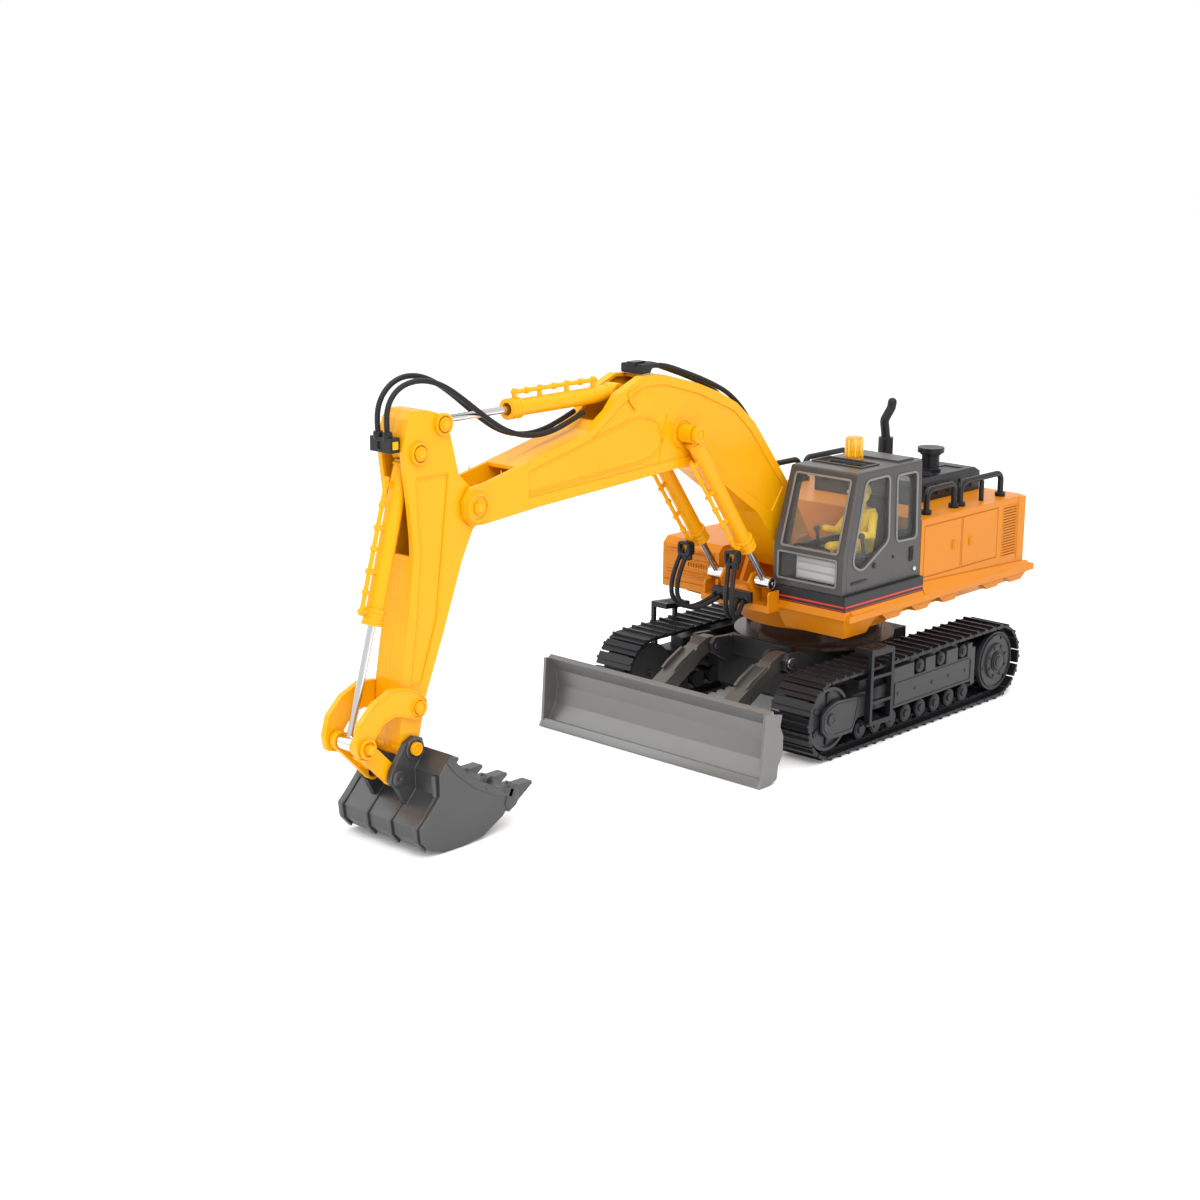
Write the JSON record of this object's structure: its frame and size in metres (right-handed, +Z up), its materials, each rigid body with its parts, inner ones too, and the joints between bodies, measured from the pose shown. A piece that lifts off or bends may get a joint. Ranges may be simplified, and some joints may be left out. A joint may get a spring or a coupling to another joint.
{
  "type": "tracked toy excavator",
  "caption": "Radio-controlled toy excavator on rubber-style tracks with a dozer blade, slewing house, cab with a doll, jointed boom, arm and bucket, and working linkages.",
  "frame": {"origin": "on the ground under the middle of the whole machine, which is 127.2 mm in front of the slew axis", "axes": "-Y points to the front, where the boom reaches out; +X is the operator's left, the cab side; +Z is up"},
  "size_m": [0.1712, 0.5254, 0.24],
  "materials": {
    "yellow_plastic": "satin moulded, golden yellow",
    "house_yellow": "satin moulded, orange yellow",
    "cab_grey": "fine satin, mid grey",
    "dark_grey": "fine satin, dark grey",
    "black_plastic": "fine grain, black",
    "frame_grey": "fine satin, dark grey",
    "blade_metal": "satin metallic grey",
    "arm_metal": "satin dark metallic grey",
    "bucket_metal": "satin dark metallic grey",
    "chrome_rod": "polished",
    "pin_steel": "brushed",
    "clear_window": "clear, slightly smoked",
    "amber_lens": "clear amber",
    "figure_yellow": "satin yellow",
    "seat_black": "fine grain",
    "hose_rubber": "satin, ribbed",
    "ring_brown": "satin dark brown",
    "cell_wrap": "shrink wrap",
    "board_green": "lacquered board"
  },
  "bodies": {
    "undercarriage": {"chassis_frame": "frame_grey", "belly_cover": "black_plastic", "battery_pack": "cell_wrap", "track_frame_left": "frame_grey", "track_frame_right": "frame_grey", "step_ladders": "black_plastic", "track_rollers": "black_plastic", "track_left": "black_plastic", "track_right": "black_plastic", "slew_ring": "ring_brown", "travel_motors": "black_plastic", "blade_pins": "pin_steel"},
    "switch": {"power_switch": "black_plastic"},
    "sprocket_l": {"sprocket_left": "frame_grey"},
    "sprocket_r": {"sprocket_right": "frame_grey"},
    "idler_l": {"idler_left": "frame_grey"},
    "idler_r": {"idler_right": "frame_grey"},
    "dozer": {"blade": "blade_metal", "blade_arms": "arm_metal"},
    "house": {"house_deck": "house_yellow", "engine_housing": "house_yellow", "counterweight": "house_yellow", "right_cabinet": "house_yellow", "engine_hood": "black_plastic", "air_cleaner": "black_plastic", "exhaust_stack": "black_plastic", "handrails": "black_plastic", "cab_skirt": "dark_grey", "cab_shell": "cab_grey", "cab_windows": "clear_window", "operator_seat": "seat_black", "control_console": "seat_black", "operator_figure": "figure_yellow", "beacon_lens": "amber_lens", "drive_electronics": "board_green", "house_pins": "pin_steel", "hose_manifold": "black_plastic", "lift_hoses_left": "hose_rubber", "lift_hoses_right": "hose_rubber"},
    "boom": {"boom_shell_left": "yellow_plastic", "boom_shell_right": "yellow_plastic", "boom_pins": "yellow_plastic", "boom_hose_clip": "black_plastic", "boom_hoses": "hose_rubber", "arm_hoses": "hose_rubber"},
    "lift_barrel_l": {"boom_barrel_left": "yellow_plastic"},
    "lift_barrel_r": {"boom_barrel_right": "yellow_plastic"},
    "lift_rod_l": {"boom_rod_left": "chrome_rod"},
    "lift_rod_r": {"boom_rod_right": "chrome_rod"},
    "arm": {"arm_shell_left": "yellow_plastic", "arm_shell_right": "yellow_plastic", "arm_pins": "yellow_plastic", "arm_hose_clip": "black_plastic"},
    "crowd_rod": {"arm_rod": "chrome_rod"},
    "crowd_barrel": {"arm_barrel": "yellow_plastic"},
    "levers": {"bucket_levers": "yellow_plastic"},
    "link": {"bucket_link": "yellow_plastic"},
    "curl_rod": {"bucket_rod": "chrome_rod"},
    "curl_barrel": {"bucket_barrel": "yellow_plastic"},
    "bucket": {"bucket": "bucket_metal"}
  },
  "joints": [
    {"name": "slew", "type": "hinge", "parent": "undercarriage", "child": "house", "pos_m": [0, 0.12723, 0.0576], "axis": [0, 0, 1], "continuous": true},
    {"name": "boom_lift", "type": "hinge", "parent": "house", "child": "boom", "pos_m": [0, 0.09323, 0.104], "axis": [-1, 0, 0], "range_deg": [-8, 28], "deforming": ["lift_hoses_left", "lift_hoses_right"]},
    {"name": "arm_swing", "type": "hinge", "parent": "boom", "child": "arm", "pos_m": [0, -0.17877, 0.17], "axis": [-1, 0, 0], "range_deg": [-18, 32], "deforming": ["arm_hoses"]},
    {"name": "bucket_curl", "type": "hinge", "parent": "arm", "child": "bucket", "pos_m": [0, -0.22376, 0.0525], "axis": [-1, 0, 0], "range_deg": [-30, 45]},
    {"name": "blade_lift", "type": "hinge", "parent": "undercarriage", "child": "dozer", "pos_m": [0, 0.05573, 0.046], "axis": [-1, 0, 0], "range_deg": [-4, 12]},
    {"name": "power_switch", "type": "slide", "parent": "undercarriage", "child": "switch", "axis": [0, 1, 0], "range_m": [0, 0.003]},
    {"name": "drive_left", "type": "hinge", "parent": "undercarriage", "child": "sprocket_l", "pos_m": [0.0685, 0.21374, 0.0245], "axis": [-1, 0, 0], "continuous": true},
    {"name": "drive_right", "type": "hinge", "parent": "undercarriage", "child": "sprocket_r", "pos_m": [-0.0685, 0.21374, 0.0245], "axis": [-1, 0, 0], "continuous": true},
    {"name": "idler_left", "type": "hinge", "parent": "undercarriage", "child": "idler_l", "pos_m": [0.0685, 0.03773, 0.0245], "axis": [-1, 0, 0], "continuous": true},
    {"name": "idler_right", "type": "hinge", "parent": "undercarriage", "child": "idler_r", "pos_m": [-0.0685, 0.03773, 0.0245], "axis": [-1, 0, 0], "continuous": true},
    {"name": "lift_barrel_left", "type": "hinge", "parent": "boom", "child": "lift_barrel_l", "pos_m": [0.0178, -0.01877, 0.19], "axis": [-1, 0, 0], "range_deg": [-0.93, 2.02]},
    {"name": "lift_rod_left", "type": "slide", "parent": "lift_barrel_l", "child": "lift_rod_l", "axis": [0, 0.594, -0.8044], "range_m": [-0.00621, 0.02022]},
    {"name": "lift_barrel_right", "type": "hinge", "parent": "boom", "child": "lift_barrel_r", "pos_m": [-0.0178, -0.01877, 0.19], "axis": [-1, 0, 0], "range_deg": [-0.93, 2.02]},
    {"name": "lift_rod_right", "type": "slide", "parent": "lift_barrel_r", "child": "lift_rod_r", "axis": [0, 0.594, -0.8044], "range_m": [-0.00621, 0.02022]},
    {"name": "crowd_rod_pin", "type": "hinge", "parent": "arm", "child": "crowd_rod", "pos_m": [0, -0.19926, 0.2148], "axis": [-1, 0, 0], "range_deg": [-29.34, 16.94]},
    {"name": "crowd_stroke", "type": "slide", "parent": "crowd_rod", "child": "crowd_barrel", "axis": [0, 1, 0.0088], "range_m": [-0.0264, 0.01511]},
    {"name": "lever_pin", "type": "hinge", "parent": "arm", "child": "levers", "pos_m": [0, -0.22076, 0.0735], "axis": [-1, 0, 0], "range_deg": [-16.29, 23.94]},
    {"name": "link_pin", "type": "hinge", "parent": "levers", "child": "link", "pos_m": [0, -0.25577, 0.0595], "axis": [-1, 0, 0], "range_deg": [-11.2, 7.8]},
    {"name": "curl_rod_pin", "type": "hinge", "parent": "levers", "child": "curl_rod", "pos_m": [0, -0.25577, 0.0595], "axis": [-1, 0, 0], "range_deg": [-20.63, 14.09]},
    {"name": "curl_stroke", "type": "slide", "parent": "curl_rod", "child": "curl_barrel", "axis": [0, 0.2703, 0.9628], "range_m": [-0.01298, 0.00886]}
  ],
  "couplings": [
    {"joint": "idler_left", "follows": "drive_left", "ratio": 1},
    {"joint": "idler_right", "follows": "drive_right", "ratio": 1},
    {"joint": "lift_barrel_left", "follows": "boom_lift", "ratio": 0.05433},
    {"joint": "lift_rod_left", "follows": "boom_lift", "m_per_rad": 0.04015},
    {"joint": "lift_barrel_right", "follows": "boom_lift", "ratio": 0.05433},
    {"joint": "lift_rod_right", "follows": "boom_lift", "m_per_rad": 0.04015},
    {"joint": "crowd_rod_pin", "follows": "arm_swing", "ratio": -0.88576},
    {"joint": "crowd_stroke", "follows": "arm_swing", "m_per_rad": -0.046202},
    {"joint": "lever_pin", "follows": "bucket_curl", "ratio": 0.5098},
    {"joint": "link_pin", "follows": "bucket_curl", "ratio": -0.2267},
    {"joint": "curl_rod_pin", "follows": "bucket_curl", "ratio": -0.4363},
    {"joint": "curl_stroke", "follows": "bucket_curl", "m_per_rad": -0.015767}
  ]
}
